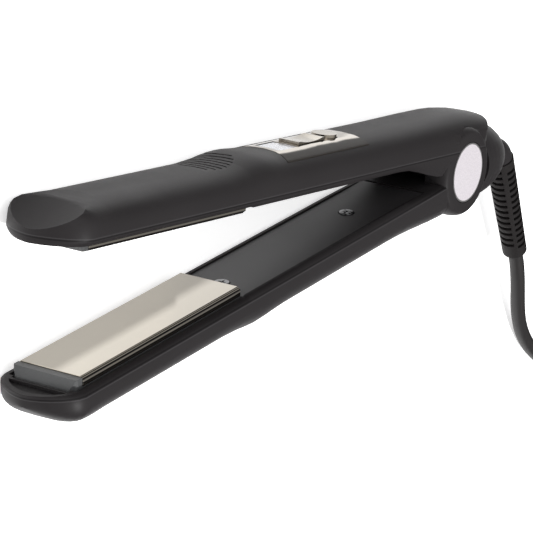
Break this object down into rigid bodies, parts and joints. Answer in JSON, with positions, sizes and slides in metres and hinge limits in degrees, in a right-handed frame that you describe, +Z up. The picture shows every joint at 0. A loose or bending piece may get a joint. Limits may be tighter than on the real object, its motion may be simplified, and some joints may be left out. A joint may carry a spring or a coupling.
{
  "type": "hair straightener",
  "caption": "Flat iron for hair with floating heating plates on two hinged arms, a mirror control panel and a swivelling cord, lying on its side with its jaws open.",
  "frame": {"origin": "centre of the hinge axis on the floor, in the flat face of the badge that the iron lies on", "axes": "+X along the upper arm towards the cord, tips at -X; +Y towards the upper arm's back; +Z up along the hinge axis"},
  "size_m": [0.5015, 0.14, 0.032],
  "materials": {
    "soft_black": "soft-touch matte",
    "inner_black": "fine-grained matte",
    "panel_metal": "polished champagne",
    "display_glass": "clear",
    "button_metal": "satin champagne",
    "steel": "bright drawn",
    "board_green": "solder mask",
    "chip_black": "moulded",
    "pearl_white": "pearl lacquer",
    "brass_bush": "turned",
    "plate_metal": "polished titanium-coloured coating",
    "heater_ceramic": "fired ceramic",
    "sensor_brass": "plain",
    "carrier_grey": "heat-resistant moulding",
    "relief_rubber": "matte moulded",
    "cord_rubber": "matte jacket",
    "tie_black": "woven band",
    "plug_black": "fine-grained moulding",
    "pin_nickel": "nickel plated"
  },
  "bodies": {
    "upper_arm": {"upper_casing": "soft_black", "upper_inner_cover": "inner_black", "upper_cover_screws": "steel", "control_panel": "panel_metal", "display_window": "display_glass", "power_button_spring": "steel", "rocker_spring": "steel", "control_board": "board_green", "board_parts": "chip_black", "hinge_badges": "pearl_white", "hinge_pin": "steel", "hinge_washers": "steel", "hinge_spring": "steel", "rear_collar": "soft_black", "upper_float_springs": "steel"},
    "upper_plate_unit": {"upper_plate": "plate_metal", "upper_heater": "heater_ceramic", "upper_heater_clip": "steel", "upper_sensor": "sensor_brass", "upper_carrier": "carrier_grey"},
    "power_key": {"power_button": "button_metal"},
    "rocker_key": {"temperature_rocker": "button_metal"},
    "lower_arm": {"lower_casing": "soft_black", "lower_inner_cover": "inner_black", "lower_cover_screws": "steel", "hinge_bush": "brass_bush", "lower_float_springs": "steel"},
    "lower_plate_unit": {"lower_plate": "plate_metal", "lower_heater": "heater_ceramic", "lower_heater_clip": "steel", "lower_sensor": "sensor_brass", "lower_carrier": "carrier_grey"},
    "cord_swivel": {"swivel_elbow": "soft_black", "swivel_clip": "steel", "strain_relief": "relief_rubber", "cord_lead": "cord_rubber", "cord_coil": "cord_rubber", "cord_tail": "cord_rubber", "cord_tie": "tie_black", "plug_body": "plug_black", "plug_pins": "pin_nickel"}
  },
  "joints": [
    {"name": "arm_hinge", "type": "hinge", "parent": "upper_arm", "child": "lower_arm", "pos_m": [0, 0, 0], "axis": [0, 0, -1], "range_deg": [0, 9.5], "stiffness_Nm_per_rad": 2, "springref_deg": -5.73, "deforming": ["hinge_spring"]},
    {"name": "upper_plate_float", "type": "slide", "parent": "upper_arm", "child": "upper_plate_unit", "axis": [0, 1, 0], "range_m": [0, 0.0008], "stiffness_N_per_m": 3000, "springref_m": -0.001, "deforming": ["upper_float_springs"]},
    {"name": "lower_plate_float", "type": "slide", "parent": "lower_arm", "child": "lower_plate_unit", "axis": [0.1651, -0.9863, 0], "range_m": [0, 0.0008], "stiffness_N_per_m": 3000, "springref_m": -0.001, "deforming": ["lower_float_springs"]},
    {"name": "power_press", "type": "slide", "parent": "upper_arm", "child": "power_key", "axis": [0, -1, 0], "range_m": [0, 0.0006], "stiffness_N_per_m": 800, "springref_m": -0.0008, "deforming": ["power_button_spring"]},
    {"name": "rocker_tilt", "type": "hinge", "parent": "upper_arm", "child": "rocker_key", "pos_m": [-0.089, 0.0176, 0.016], "axis": [0, 0, 1], "range_deg": [-3, 3], "stiffness_Nm_per_rad": 0.05, "deforming": ["rocker_spring"]},
    {"name": "cord_turn", "type": "hinge", "parent": "upper_arm", "child": "cord_swivel", "pos_m": [0.049, 0, 0.016], "axis": [1, 0, 0], "continuous": true}
  ]
}
